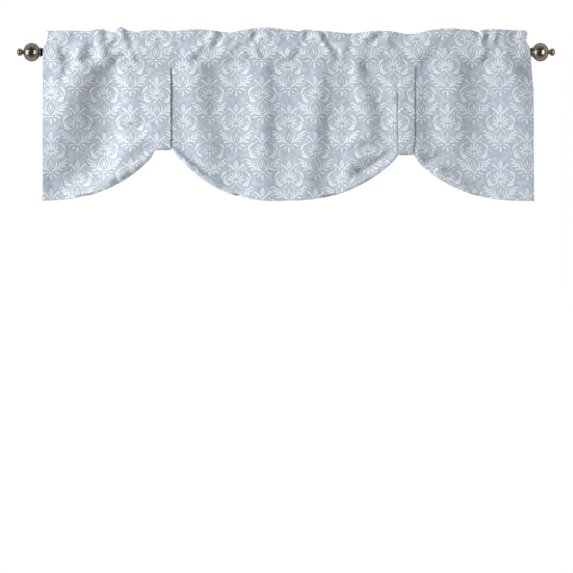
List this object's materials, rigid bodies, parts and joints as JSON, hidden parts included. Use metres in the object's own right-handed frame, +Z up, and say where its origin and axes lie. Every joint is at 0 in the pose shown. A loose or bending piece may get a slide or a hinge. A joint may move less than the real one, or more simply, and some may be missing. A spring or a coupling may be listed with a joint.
{
  "type": "tie-up valance on a curtain rod",
  "caption": "Short printed cloth valance on a round rod with ball finials, its hem tied up in three swags by two flat straps.",
  "frame": {"origin": "on the rod's axis, halfway along the rod", "axes": "+X along the rod, to the right as seen from the front; +Z up; the front of the cloth faces -Y"},
  "size_m": [1.448, 0.053, 0.4683],
  "materials": {
    "printed_cloth": "matt woven cotton blend with a pale damask print on blue-grey",
    "aged_nickel": "polished antique nickel"
  },
  "bodies": {
    "root": {"valance": "printed_cloth", "tie_left": "printed_cloth", "tie_right": "printed_cloth", "rod": "aged_nickel", "finial_left": "aged_nickel", "finial_right": "aged_nickel"}
  },
  "joints": []
}
